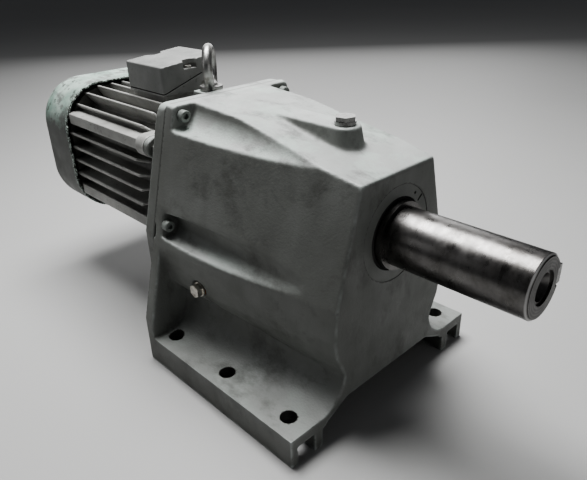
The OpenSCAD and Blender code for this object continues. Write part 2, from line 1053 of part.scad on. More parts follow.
module lid_screw_holes(r) {
  for (x = [box_x1 - lid_screw_in, box_x0 + lid_screw_in])
    translate([x, 0, 295])
      cylinder(h = 40, r = r);
}

module terminal_box_base() {
  color(alloy)
    difference() {
      intersection() {
        translate([0, 0, box_floor_z])
          linear_extrude(height = 60)
            box_plan(0);
        below_plane(part_z, part_slope);
      }
      translate([0, 0, box_floor_z + box_wall])
        linear_extrude(height = 60)
          box_plan(box_wall);
      block(box_x0 + 20, box_x1 - 20, -20, 20, 280, 300);
      rod_y(-238, 30, 50, 306, 8 + run);
      lid_screw_holes(2 + run);
      rod(box_x1 - 5, box_x1 + 1, 2 + run, 20, 299);
    }
  color(alloy)
    difference() {
      for (x = [box_x1 - 6, box_x0 + 6])
        intersection() {
          translate([x, 0, 296])
            cylinder(h = 30, r = 5.5);
          block(box_x0 + 0.5, box_x1 - 0.5, -10, 10, 296, 306);
        }
      lid_screw_holes(2 + run);
    }
}

module terminal_box_gasket() {
  color(dark)
    difference() {
      intersection() {
        translate([0, 0, 280])
          linear_extrude(height = 70)
            box_plan(0.6);
        below_plane(part_z + 1, part_slope);
      }
      below_plane(part_z, part_slope);
      translate([0, 0, 270])
        linear_extrude(height = 90)
          box_plan(box_wall);
      lid_screw_holes(2.4);
    }
}

module terminal_box_cover() {
  color(alloy)
    difference() {
      intersection() {
        translate([0, 0, 280])
          linear_extrude(height = 70)
            box_plan(0);
        below_plane(cover_z, cover_slope);
      }
      below_plane(part_z + 1, part_slope);
      intersection() {
        translate([0, 0, 280])
          linear_extrude(height = 70)
            box_plan(3.5);
        below_plane(cover_z - 3.5, cover_slope);
      }
      for (x = [box_x1, box_x0])
        translate([x, 0, 321])
          cylinder(h = 30, r = 10);
      lid_screw_holes(2.4);
    }
  color(alloy)
    for (x = [box_x1, box_x0])
      intersection() {
        difference() {
          translate([x, 0, 309])
            cylinder(h = 12, r = 12.5);
          lid_screw_holes(2.4);
          below_plane(part_z + 1, part_slope);
        }
        linear_extrude(height = 400)
          box_plan(0);
      }
}

module terminal_cover_screws() {
  color(steel)
    for (x = [box_x1 - lid_screw_in, box_x0 + lid_screw_in])
      translate([x, 0, 0])
        difference() {
          union() {
            translate([0, 0, 298])
              cylinder(h = 24, r = 2);
            translate([0, 0, 321])
              cylinder(h = 2.8, r = 4);
          }
          translate([-5, -0.6, 322.4])
            cube([10, 1.2, 3]);
        }
}

module terminal_board() {
  color(dark)
    difference() {
      block(-262, -215, -24, 24, 300.5, 304.5);
      block(-250, -227, -26, -15, 290, 310);
      for (x = [-254, -238.5, -223])
        for (y = [-9, 9])
          translate([x, y, 290])
            cylinder(h = 30, r = 2.55);
    }
  color(dark)
    for (x = [-260, -217])
      block(x - 2, x + 2, -4, 4, 296, 300.5);
}

module terminal_studs() {
  color(brassy)
    for (x = [-254, -238.5, -223])
      for (y = [-9, 9])
        translate([x, y, 0]) {
          translate([0, 0, 298])
            cylinder(h = 15, r = 2.5);
          translate([0, 0, 304.5])
            hexagon(8, 4);
        }
}

module cable_entry_plug() {
  color(dark)
    union() {
      rod_y(-238, 34, 43, 306, 8);
      rod_y(-238, box_half, box_half + 6, 306, 11);
    }
}

module earth_screw() {
  color(brassy)
    union() {
      rod(box_x1 - 4.5, box_x1 + 1, 2, 20, 299);
      rod(box_x1, box_x1 + 2.6, 4, 20, 299);
    }
}

// ---------- fittings ----------

module lifting_eye() {
  ring_r = 21;
  bar = 6;
  color(steel)
    translate([eye_x, 0, 0]) {
      translate([0, 0, eye_z - 13])
        cylinder(h = 14, r = eye_r);
      translate([0, 0, eye_z])
        cylinder(h = 6, r = 14);
      translate([0, 0, eye_z + 5.5])
        cylinder(h = 4, r1 = 10, r2 = 7);
      translate([0, 0, eye_z + bar + ring_r])
        rotate([0, 0, 46])
          rotate([0, 90, 0])
            rotate_extrude()
              translate([ring_r, 0])
                circle(r = bar);
    }
}

module vent_plug() {
  color(dark)
    union() {
      translate([plug_x, 0, 279])
        cylinder(h = 20, r = plug_r);
      translate([plug_x, 0, rib_z + 2])
        cylinder(h = 2, r = 11);
      translate([plug_x, 0, rib_z + 4])
        rotate([0, 0, 12])
          hexagon(19, 4.5);
    }
}

module vent_washer() {
  color(alloy)
    difference() {
      translate([plug_x, 0, rib_z])
        cylinder(h = 2, r = 10.5);
      translate([plug_x, 0, rib_z - 1])
        cylinder(h = 4, r = plug_r + run);
    }
}

module level_plug() {
  color(steel)
    mirror([0, 1, 0])
      union() {
        rod_y(level_x, 92, level_y + 2, level_z, level_r);
        rod_y(level_x, level_y + 1.5, level_y + 3.5, level_z, 9);
        translate([level_x, level_y + 3.5, level_z])
          rotate([-90, 0, 0])
            rotate([0, 0, 30])
              hexagon(14, 7);
      }
}

module level_washer() {
  color(copper)
    mirror([0, 1, 0])
      difference() {
        rod_y(level_x, level_y, level_y + 1.5, level_z, 8.5);
        rod_y(level_x, level_y - 1, level_y + 3, level_z, level_r + run);
      }
}

gear_housing();
housing_gasket();
motor_adapter();
adapter_screws();
output_shaft();
output_key();
output_gear();
output_gear_key();
output_spacer();
output_front_bearing();
output_rear_bearing();
output_seal();
intermediate_shaft();
intermediate_gear();
intermediate_key();
intermediate_front_bearing();
intermediate_rear_bearing();
intermediate_circlip();
motor_shaft();
input_pinion();
input_pinion_key();
rotor_core();
motor_front_bearing();
motor_rear_bearing();
motor_seal();
wave_washer();
stator_housing();
stator_core();
stator_winding();
rear_endshield();
tie_bolts();
fan();
fan_circlip();
fan_cover();
fan_cover_screws();
terminal_box_base();
terminal_box_gasket();
terminal_box_cover();
terminal_cover_screws();
terminal_board();
terminal_studs();
cable_entry_plug();
earth_screw();
lifting_eye();
vent_plug();
vent_washer();
level_plug();
level_washer();
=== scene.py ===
import json
import math

import bmesh
import bpy
import numpy as np
from mathutils import Matrix, Vector


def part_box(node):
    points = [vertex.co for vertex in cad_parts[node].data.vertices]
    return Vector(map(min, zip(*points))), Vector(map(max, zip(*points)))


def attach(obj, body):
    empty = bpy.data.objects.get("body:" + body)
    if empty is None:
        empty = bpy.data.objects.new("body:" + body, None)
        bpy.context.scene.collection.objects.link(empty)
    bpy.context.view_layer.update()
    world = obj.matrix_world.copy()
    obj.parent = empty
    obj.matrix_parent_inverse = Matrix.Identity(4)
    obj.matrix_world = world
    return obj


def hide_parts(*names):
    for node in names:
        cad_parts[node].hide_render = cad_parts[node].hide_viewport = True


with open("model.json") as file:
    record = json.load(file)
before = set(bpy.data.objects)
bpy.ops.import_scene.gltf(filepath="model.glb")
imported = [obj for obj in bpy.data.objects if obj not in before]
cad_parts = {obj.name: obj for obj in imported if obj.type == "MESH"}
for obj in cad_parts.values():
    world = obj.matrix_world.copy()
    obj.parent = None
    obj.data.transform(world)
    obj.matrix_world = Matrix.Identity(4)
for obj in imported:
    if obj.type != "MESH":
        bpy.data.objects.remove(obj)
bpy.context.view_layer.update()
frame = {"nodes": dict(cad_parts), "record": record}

MM = 0.001
X, Y, Z = 0, 1, 2


# ---------- mesh tools ----------

def box_mm(node):
    """A node's lowest and highest corners, in millimetres."""
    low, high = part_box(node)
    return Vector(low) / MM, Vector(high) / MM


def add_object(name, mesh):
    """Puts a mesh in the scene as an object."""
    made = bpy.data.objects.new(name, mesh)
    bpy.context.scene.collection.objects.link(made)
    return made


def copy_of(node, name):
    """A free copy of a CAD node's mesh with its corners welded."""
    made = add_object(name, frame["nodes"][node].data.copy())
    work = bmesh.new()
    work.from_mesh(made.data)
    bmesh.ops.remove_doubles(work, verts=work.verts, dist=1e-6)
    work.to_mesh(made.data)
    work.free()
    made.data.materials.clear()
    return made


def bake_modifiers(piece):
    """Turns the object's modifiers into plain mesh."""
    shown = piece.evaluated_get(bpy.context.evaluated_depsgraph_get())
    made = bpy.data.meshes.new_from_object(shown)
    piece.modifiers.clear()
    piece.data = made


def voxel(piece, size_mm):
    """Joins the piece's shells into one even mesh."""
    step = piece.modifiers.new("voxel", "REMESH")
    step.mode = "VOXEL"
    step.voxel_size = size_mm * MM
    bake_modifiers(piece)


def points_of(mesh):
    """Vertex positions, one row each."""
    found = np.empty(len(mesh.vertices) * 3)
    mesh.vertices.foreach_get("co", found)
    return found.reshape(-1, 3)


def edges_of(mesh):
    """The two vertex numbers of each edge, one row each."""
    found = np.empty(len(mesh.edges) * 2, dtype=np.int64)
    mesh.edges.foreach_get("vertices", found)
    return found.reshape(-1, 2)


def neighbour_mean(values, edges, count):
    """For each vertex, the mean of values over its neighbours."""
    degree = np.maximum(np.bincount(edges.ravel(), minlength=count), 1)
    columns = []
    for k in range(values.shape[1]):
        there = np.bincount(edges[:, 0], weights=values[edges[:, 1], k], minlength=count)
        back = np.bincount(edges[:, 1], weights=values[edges[:, 0], k], minlength=count)
        columns.append((there + back) / degree)
    return np.stack(columns, axis=1)


# How near a plane a vertex counts as on it, before and after the remesh.
ON_PLANE = 0.01
HELD_WITHIN = 1.2


def extend_face(piece, axis, value, by):
    """Extrudes one flat CAD face, so that a later cut there leaves its edges crisp."""
    def fill(work):
        flat = [face for face in work.faces
                if all(abs(v.co[axis] - value * MM) < ON_PLANE * MM for v in face.verts)]
        made = bmesh.ops.extrude_face_region(work, geom=flat)["geom"]
        for v in made:
            if isinstance(v, bmesh.types.BMVert):
                v.co[axis] += by * MM
    join_into(piece, fill)


def relax(piece, rounds, hold=(), where=None):
    """Rounds edges and fills creases as a sand mould does. hold lists planes (axis, mm) that stay
    flat, and where(spots) says how much each vertex may move, from 0 to 1."""
    mesh = piece.data
    spots = points_of(mesh)
    edges = edges_of(mesh)
    start = spots.copy()
    weight = 0.5 if where is None else 0.5 * where(start / MM)[:, None]
    for _ in range(rounds):
        spots += weight * (neighbour_mean(spots, edges, len(spots)) - spots)
        for axis, value in hold:
            near = np.abs(start[:, axis] - value * MM) < HELD_WITHIN * MM
            spots[near, axis] = value * MM
    mesh.vertices.foreach_set("co", spots.ravel())
    mesh.update()


def mark_convexity_and_level(piece, rounds=3):
    """Stores "convexity", how far each vertex stands proud of its neighbours (0.5 is flat, 1 an edge,
    0 a crease), which drives edge rubbing and painted shade in creases, and "level", how far its
    surface faces up (1 is flat and level), which drives painted top light and dust."""
    mesh = piece.data
    spots = points_of(mesh)
    edges = edges_of(mesh)
    normals = np.empty(len(spots) * 3)
    mesh.vertices.foreach_get("normal", normals)
    normals = normals.reshape(-1, 3)
    length = np.linalg.norm(spots[edges[:, 0]] - spots[edges[:, 1]], axis=1).mean()
    smooth = neighbour_mean(spots, edges, len(spots))
    smooth = neighbour_mean(smooth, edges, len(spots))
    proud = (((spots - smooth) * normals).sum(axis=1) / length)[:, None]
    for _ in range(rounds):
        proud = 0.5 * (proud + neighbour_mean(proud, edges, len(spots)))
    convexity = np.clip(0.5 + proud[:, 0], 0, 1).astype(np.float32)
    mesh.attributes.new("convexity", "FLOAT", "POINT").data.foreach_set("value", convexity)
    level = np.clip(normals[:, 2], 0, 1).astype(np.float32)
    mesh.attributes.new("level", "FLOAT", "POINT").data.foreach_set("value", level)


def bar(work, start, end, radius, sides=48):
    """Adds a closed round bar between two points in millimetres."""
    start, end = Vector(start), Vector(end)
    along = end - start
    turn = along.to_track_quat("Z", "Y").to_matrix().to_4x4()
    place = Matrix.Translation((start + end) / 2 * MM) @ turn
    bmesh.ops.create_cone(work, cap_ends=True, segments=sides, radius1=radius * MM,
                          radius2=radius * MM, depth=along.length * MM, matrix=place)


def brick(work, low, high):
    """Adds a closed box between two corners in millimetres."""
    low, high = Vector(low), Vector(high)
    place = Matrix.Translation((low + high) / 2 * MM) @ Matrix.Diagonal((*((high - low) * MM), 1))
    bmesh.ops.create_cube(work, size=1, matrix=place)


def slab(work, x0, x1):
    """Adds a block from x0 to x1 that is wider and higher than the whole part."""
    brick(work, (x0, -200, -20), (x1, 200, 400))


def bridge(work, near, far):
    """Adds a band of four-sided faces between two closed loops of vertices."""
    for i in range(len(near)):
        j = (i + 1) % len(near)
        work.faces.new((near[i], near[j], far[j], far[i]))


def mesh_of(name, fill):
    """An object whose mesh is made by fill(work)."""
    work = bmesh.new()
    fill(work)
    mesh = bpy.data.meshes.new(name)
    work.to_mesh(mesh)
    work.free()
    return add_object(name, mesh)


def join_into(piece, fill):
    """Adds what fill makes to the piece as further closed shells."""
    work = bmesh.new()
    work.from_mesh(piece.data)
    fill(work)
    work.to_mesh(piece.data)
    work.free()


def carve(piece, fill):
    """Cuts what fill makes out of the piece, with crisp edges."""
    tool = mesh_of("cutter", fill)
    step = piece.modifiers.new("carve", "BOOLEAN")
    step.operation = "DIFFERENCE"
    step.solver = "MANIFOLD"
    step.object = tool
    bake_modifiers(piece)
    bpy.data.objects.remove(tool)


SHARP_ABOVE = math.radians(38)


def shade(piece):
    """Smooth shading that keeps edges sharper than SHARP_ABOVE."""
    piece.data.shade_smooth()
    piece.data.set_sharp_from_angle(angle=SHARP_ABOVE)


def lathe(name, outline, sides):
    """Turns a closed outline of (x, radius) points, in millimetres, about the shaft's axis."""
    def fill(work):
        rings = []
        for k in range(sides):
            a = 2 * math.pi * k / sides
            rings.append([work.verts.new((x * MM, r * math.cos(a) * MM,
                                          (AXIS_Z + r * math.sin(a)) * MM)) for x, r in outline])
        for k in range(sides):
            bridge(work, rings[k], rings[(k + 1) % sides])
        bmesh.ops.recalc_face_normals(work, faces=work.faces)
    return mesh_of(name, fill)


# ---------- sizes read from the frame, in millimetres ----------

house_low, house_high = box_mm("gear_housing")
shaft_low, shaft_high = box_mm("output_shaft")
AXIS_Z = (shaft_low.z + shaft_high.z) / 2
FRONT_X = house_high.x
SEAM_X = house_low.x
SEAL_R = box_mm("output_seal")[1].y

mounts = {m["name"]: m for m in frame["record"]["mounts"]}
foot_bolts = mounts["foot_bolts_corners"]["dims"]
FOOT_STEP = foot_bolts["spacing_x_mm"] / 2
FOOT_GAP = foot_bolts["spacing_y_mm"]
FOOT_HOLE_R = foot_bolts["hole_r_mm"]


# ---------- materials ----------

class Shader:
    """A node material with one Principled shader and short ways to add what drives it."""

    def __init__(self, name, metallic=0.0, roughness=0.5):
        self.material = bpy.data.materials.new(name)
        self.material.use_nodes = True
        self.tree = self.material.node_tree
        self.surface = self.tree.nodes["Principled BSDF"]
        self.surface.inputs["Metallic"].default_value = metallic
        self.surface.inputs["Roughness"].default_value = roughness
        self.place = self.add("ShaderNodeTexCoord").outputs["Object"]

    def add(self, kind, **inputs):
        """A new node. Each keyword is an input, with _ for the spaces in its name."""
        made = self.tree.nodes.new(kind)
        for key, value in inputs.items():
            self.feed(made.inputs[key.replace("_", " ")], value)
        return made

    def feed(self, socket, value):
        """Links a socket to another one, or sets it to a constant."""
        if isinstance(value, bpy.types.NodeSocket):
            self.tree.links.new(value, socket)
        else:
            socket.default_value = value

    def noise(self, scale, detail=4.0, roughness=0.55, stretch=(1, 1, 1)):
        """A noise value whose blotches are about 1/scale metres wide."""
        moved = self.add("ShaderNodeMapping", Vector=self.place, Scale=stretch)
        made = self.add("ShaderNodeTexNoise", Vector=moved.outputs[0], Scale=scale, Detail=detail,
                        Roughness=roughness)
        return made.outputs["Fac"]

    def ramp(self, value, low, high, start=0.0, end=1.0):
        """Maps low..high to start..end, clamped."""
        made = self.add("ShaderNodeMapRange", Value=value)
        limits = {"From Min": low, "From Max": high, "To Min": start, "To Max": end}
        for key, number in limits.items():
            made.inputs[key].default_value = number
        return made.outputs["Result"]

    def math(self, operation, a, b):
        made = self.add("ShaderNodeMath")
        made.operation = operation
        self.feed(made.inputs[0], a)
        self.feed(made.inputs[1], b)
        return made.outputs[0]

    def times(self, a, b):
        return self.math("MULTIPLY", a, b)

    def square(self, a):
        return self.times(a, a)

    def along(self, axis):
        """The position along one axis, in metres."""
        return self.add("ShaderNodeSeparateXYZ", Vector=self.place).outputs[axis]

    def mix(self, amount, a, b):
        """Blends from colour a to colour b by amount."""
        made = self.tree.nodes.new("ShaderNodeMix")
        made.data_type = "RGBA"
        self.feed(made.inputs[0], amount)
        self.feed(made.inputs[6], a if isinstance(a, bpy.types.NodeSocket) else (*a, 1))
        self.feed(made.inputs[7], b if isinstance(b, bpy.types.NodeSocket) else (*b, 1))
        return made.outputs[2]

    def stored(self, name):
        """A value that mark_convexity_and_level stored on the mesh."""
        made = self.tree.nodes.new("ShaderNodeAttribute")
        made.attribute_name = name
        return made.outputs["Fac"]

    def bump(self, height, distance_mm, strength, under=None):
        """A normal from a height value, over an earlier normal if one is given."""
        made = self.add("ShaderNodeBump", Height=height, Strength=strength,
                        Distance=distance_mm * MM)
        if under is not None:
            self.feed(made.inputs["Normal"], under)
        return made.outputs["Normal"]

    def finish(self, colour, roughness=None, normal=None):
        """Connects what was made to the shader and returns the material."""
        self.feed(self.surface.inputs["Base Color"], colour)
        if roughness is not None:
            self.feed(self.surface.inputs["Roughness"], roughness)
        if normal is not None:
            self.feed(self.surface.inputs["Normal"], normal)
        return self.material


def cast_paint(name, paint, pale, bare, grime_and_shade, tint=None, worn=True, grain_mm=0.5):
    """Old paint over a sand casting. Where worn is set, faces that look up are paler, more so higher
    up, as painted top light mixed with dust; the paint is darker towards the floor; edges are rubbed
    and chipped; and creases are grimy and darkened with painted shade."""
    s = Shader(name)
    colour = s.mix(s.ramp(s.noise(9, 5), 0.32, 0.68, 0, 0.22), paint, pale)
    streaks = s.ramp(s.noise(22, 6, stretch=(1, 1, 0.22)), 0.42, 0.7, 0, 0.35)
    colour = s.mix(streaks, colour, grime_and_shade)
    # worn also switches on the painted top light, the darkening towards the floor and the painted
    # shade in creases.
    if worn:
        height = s.along("Z")
        clouds = s.ramp(s.noise(12, 6), 0.25, 0.6, 0.55, 1)
        # Paler where faces look up, more so higher up: painted top light, lighter on the upper body
        # than on the feet, mixed with dust.
        dust = s.times(s.ramp(s.stored("level"), 0.3, 0.95), clouds)
        colour = s.mix(s.times(dust, s.ramp(height, 0.04, 0.22, 0.5, 1)), colour, pale)
        patches = s.ramp(s.noise(26, 6, 0.65), 0.48, 0.58, 0, 0.6)
        patches = s.times(patches, s.ramp(height, 0.1, 0.24, 0.25, 1))
        colour = s.mix(s.times(dust, patches), colour, tint)
        smudges = s.ramp(s.noise(17, 7, 0.7, stretch=(1, 1.6, 1)), 0.52, 0.66, 0, 0.55)
        colour = s.mix(smudges, colour, grime_and_shade)
        # Darker towards the floor, below 45 mm.
        darker_near_floor = s.ramp(height, 0.045, 0.0, 0, 0.55)
        colour = s.mix(darker_near_floor, colour, grime_and_shade)
    specks = s.ramp(s.noise(320, 3), 0.66, 0.76, 0, 0.25)
    colour = s.mix(specks, colour, grime_and_shade)
    if worn:
        convexity = s.stored("convexity")
        rubbed = s.times(s.ramp(convexity, 0.58, 0.76), s.ramp(s.noise(55, 6), 0.38, 0.62, 0.1, 0.7))
        colour = s.mix(rubbed, colour, bare)
        chipped = s.times(s.ramp(convexity, 0.60, 0.8), s.ramp(s.noise(120, 5), 0.58, 0.63))
        colour = s.mix(chipped, colour, grime_and_shade)
        # Creases darkened: painted shade, and grimy.
        crease_shade_and_grime = s.times(s.ramp(convexity, 0.44, 0.3), s.ramp(s.noise(30, 4), 0.2, 0.6, 0.35, 0.9))
        colour = s.mix(crease_shade_and_grime, colour, grime_and_shade)
    rough = s.ramp(s.noise(40, 5), 0.3, 0.7, 0.42, 0.66)
    sand = s.bump(s.noise(380, 5, 0.65), grain_mm, 0.8)
    waves = s.bump(s.noise(34, 2), 1.6, 0.4, sand)
    return s.finish(colour, rough, waves)


def peeling_sheet(name, paint, pale, bare, dirt, edge_z, rim_x):
    """Sheet cover whose pale paint is left above edge_z, worn to dull metal below it, and chipped
    at its rim."""
    s = Shader(name)
    coat = s.mix(s.ramp(s.noise(30, 7, 0.65), 0.38, 0.62), paint, pale)
    coat = s.mix(s.ramp(s.noise(46, 7, 0.7), 0.50, 0.60, 0, 0.85), coat, bare)
    coat = s.mix(s.ramp(s.noise(90, 5, 0.6), 0.58, 0.64, 0, 0.8), coat, dirt)
    metal = s.mix(s.ramp(s.noise(14, 6), 0.3, 0.7), bare, dirt)
    height = s.math("ADD", s.along("Z"), s.times(s.noise(20, 5), 0.06))
    colour = s.mix(s.ramp(height, edge_z + 0.018, edge_z + 0.040), metal, coat)
    ragged_x = s.math("ADD", s.along("X"), s.times(s.noise(170, 3), 0.008))
    near_rim = s.ramp(ragged_x, rim_x - 0.002, rim_x + 0.002)
    flakes = s.mix(s.ramp(s.noise(420, 2), 0.48, 0.52), dirt, pale)
    colour = s.mix(near_rim, colour, flakes)
    rough = s.ramp(s.noise(50, 5), 0.3, 0.7, 0.42, 0.66)
    return s.finish(colour, rough, s.bump(s.noise(60, 5), 0.6, 0.5))


def bare_casting(name, metal, dust, soot_and_shade):
    """Dusty die-cast aluminium: grey metal, pale on its edges, and darker in its hollows, sooty there
    and with painted shade.
    """
    s = Shader(name, metallic=0.35)
    colour = s.mix(s.ramp(s.noise(16, 6), 0.35, 0.7), metal, dust)
    colour = s.mix(s.ramp(s.noise(190, 4), 0.6, 0.75, 0, 0.6), colour, soot_and_shade)
    convexity = s.stored("convexity")
    rubbed = s.times(s.ramp(convexity, 0.58, 0.8), s.ramp(s.noise(80, 5), 0.3, 0.6))
    colour = s.mix(rubbed, colour, dust)
    # Hollows, such as the gaps between the fins, darkened: painted shade, and sooty.
    colour = s.mix(s.ramp(convexity, 0.46, 0.28, 0, 0.75), colour, soot_and_shade)
    rough = s.ramp(s.noise(60, 5), 0.3, 0.7, 0.42, 0.68)
    return s.finish(colour, rough, s.bump(s.noise(520, 5, 0.6), 0.25, 0.6))


TIP_RINGS = 2200.0
# Colour of the painted highlight on the chamfer round the shaft's end.
TIP_HIGHLIGHT = (0.46, 0.455, 0.45)


def turned_steel(name, steel, stain_and_end_shade, rough_low, rough_high, tip_x=None):
    """A ground shaft: fine rings from the wheel, oxide stains and handling marks. tip_x is where its
    end face is, which is painted dark as shade and turned in rings, with a painted highlight on the
    edge round it."""
    s = Shader(name, metallic=1.0)
    blotches = s.ramp(s.noise(30, 7, 0.68), 0.40, 0.66)
    colour = s.mix(blotches, steel, stain_and_end_shade)
    prints = s.ramp(s.noise(70, 7, 0.7), 0.50, 0.66, 0, 0.8)
    colour = s.mix(prints, colour, steel)
    scuffs = s.noise(95, 6, 0.7, stretch=(1, 0.4, 0.4))
    rough = s.ramp(scuffs, 0.35, 0.7, rough_low, rough_high)
    rings = s.noise(900, 2, 0.5, stretch=(3, 0.04, 0.04))
    normal = s.bump(rings, 0.02, 0.5, s.bump(s.noise(240, 4), 0.05, 0.3))
    if tip_x is not None:
        x = s.along("X")
        above_axis = s.math("ADD", s.along("Z"), -AXIS_Z * MM)
        from_axis = s.math("ADD", s.square(s.along("Y")), s.square(above_axis))
        from_axis = s.math("POWER", from_axis, 0.5)
        turned = s.ramp(s.math("SINE", s.times(from_axis, TIP_RINGS), 0), -0.6, 0.8)
        # The end face painted dark as shade, with turned rings.
        face = s.mix(turned, [0.3 * v for v in stain_and_end_shade], stain_and_end_shade)
        colour = s.mix(s.ramp(x, tip_x - 0.0004, tip_x - 0.0002), colour, face)
        # Painted highlight on the edge round the end face.
        edge = s.times(s.ramp(x, tip_x - 0.0026, tip_x - 0.0018),
                       s.ramp(x, tip_x - 0.0006, tip_x - 0.0012))
        edge = s.times(edge, s.ramp(from_axis, 0.026, 0.027))
        colour = s.mix(edge, colour, TIP_HIGHLIGHT)
        rough = s.math("ADD", rough, s.times(edge, 0.25))
    return s.finish(colour, rough, normal)


def plain_steel(name, steel, rust, rough=(0.3, 0.55), metallic=0.9):
    """Zinc or black finished hardware with a little rust and rubbed faces."""
    s = Shader(name, metallic=metallic)
    colour = s.mix(s.ramp(s.noise(150, 6), 0.5, 0.72), steel, rust)
    rough = s.ramp(s.noise(260, 4), 0.3, 0.7, *rough)
    return s.finish(colour, rough, s.bump(s.noise(700, 3), 0.06, 0.5))


def moulded(name, colour, other, rough=(0.4, 0.62)):
    """Moulded plastic or rubber with a faint texture."""
    s = Shader(name)
    tone = s.mix(s.ramp(s.noise(60, 4), 0.35, 0.7), colour, other)
    rough = s.ramp(s.noise(180, 3), 0.3, 0.7, *rough)
    return s.finish(tone, rough, s.bump(s.noise(900, 2), 0.08, 0.5))


# The dark colour also paints the shade in creases, and the pale one the painted top light on up-facing
# faces.
HOUSING_COAT = {
    "paint": (0.135, 0.141, 0.130),
    "pale": (0.385, 0.400, 0.388),
    "bare": (0.50, 0.54, 0.52),
    "grime_and_shade": (0.050, 0.050, 0.044),
}
HOUSING_TINT = (0.40, 0.47, 0.43)
COVER_COAT = {
    "paint": (0.23, 0.32, 0.275),
    "pale": (0.42, 0.50, 0.455),
    "bare": (0.145, 0.15, 0.142),
    "dirt": (0.060, 0.062, 0.056),
}
COVER_COAT_FROM_AXIS = 46

# Metals and plastics: main colour, second colour, then range of roughness and metallic value.
MATERIALS = {
    "housing": cast_paint("housing_paint", **HOUSING_COAT, tint=HOUSING_TINT),
    "flat_paint": cast_paint("seal_paint", **HOUSING_COAT, worn=False, grain_mm=0.12),
    "cover": peeling_sheet("cover_paint", **COVER_COAT, edge_z=(AXIS_Z + COVER_COAT_FROM_AXIS) * MM,
                           rim_x=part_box("fan_cover")[1][0]),
    "motor": bare_casting("motor_alloy", (0.23, 0.23, 0.22), (0.42, 0.42, 0.405),
                          (0.055, 0.055, 0.05)),
    "box": bare_casting("box_alloy", (0.20, 0.205, 0.20), (0.31, 0.315, 0.305),
                        (0.085, 0.085, 0.08)),
    "shaft": turned_steel("shaft_steel", (0.175, 0.170, 0.166), (0.082, 0.078, 0.074), 0.24, 0.42,
                          tip_x=shaft_high.x * MM),
    "gears": turned_steel("gear_steel", (0.58, 0.58, 0.58), (0.42, 0.41, 0.39), 0.2, 0.34),
    "bolts": plain_steel("bolt_steel", (0.42, 0.42, 0.40), (0.22, 0.19, 0.16)),
    "painted_bolts": plain_steel("painted_bolts", (0.23, 0.25, 0.235), (0.11, 0.11, 0.10),
                                 (0.45, 0.65), 0.3),
    "bright": plain_steel("bright_zinc", (0.62, 0.60, 0.55), (0.30, 0.28, 0.24), (0.26, 0.42), 1.0),
    "eye": plain_steel("eye_steel", (0.36, 0.36, 0.35), (0.20, 0.19, 0.175), (0.32, 0.5), 1.0),
    "dark": plain_steel("dark_steel", (0.26, 0.26, 0.255), (0.12, 0.115, 0.105), (0.2, 0.32), 1.0),
    "laminations": plain_steel("laminations", (0.22, 0.22, 0.22), (0.12, 0.11, 0.10), (0.4, 0.6)),
    "copper": plain_steel("winding_copper", (0.50, 0.20, 0.09), (0.24, 0.10, 0.05), (0.3, 0.5), 0.8),
    "brass": plain_steel("dull_brass", (0.60, 0.46, 0.22), (0.32, 0.24, 0.12), (0.3, 0.5), 1.0),
    "rubber": moulded("rubber", (0.016, 0.016, 0.016), (0.032, 0.030, 0.028), (0.5, 0.75)),
    "plastic": moulded("black_plastic", (0.020, 0.020, 0.021), (0.036, 0.036, 0.036)),
}


def dress(piece, material):
    """Gives a piece its material."""
    piece.data.materials.clear()
    piece.data.materials.append(MATERIALS[material])


def dress_node(node, material):
    """Gives a CAD node its material, through its slots."""
    for slot in frame["nodes"][node].material_slots:
        slot.link = "OBJECT"
        slot.material = MATERIALS[material]


def settle(piece, node, body, material):
    """Puts a detailed piece in place of its CAD node."""
    shade(piece)
    dress(piece, material)
    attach(piece, body)
    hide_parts(node)


# ---------- castings ----------

# Top and thickness of the foot plates.
FOOT_TOP = 34
FOOT_PLATE = 12
# The seal ring's seat in the front face: its depth, the gap round the ring, and the ledge behind it.
SEAL_DEEP = 12
SEAL_GAP = 0.15
SEAL_LEDGE = 4
SHAFT_ROOM = 40
# What a plug overlaps its hole by, and what a joint face is thickened by.
PLUG_OVERLAP = 0.6
SEAL_PLUG_OVERLAP = 1
THICKER = 8
# How far cutters reach past a face.
PAST = 5
FAR_PAST = 20
# Height above the feet over which the rounding grows from FOOT_ROUNDING to full.
ROUND_FROM_FEET = 12
FOOT_ROUNDING = 0.12


def foot_holes():
    """(x, y) of the six foundation bolt holes."""
    for side in (-1, 1):
        for x in (-FOOT_STEP, 0, FOOT_STEP):
            yield x, side * FOOT_GAP / 2


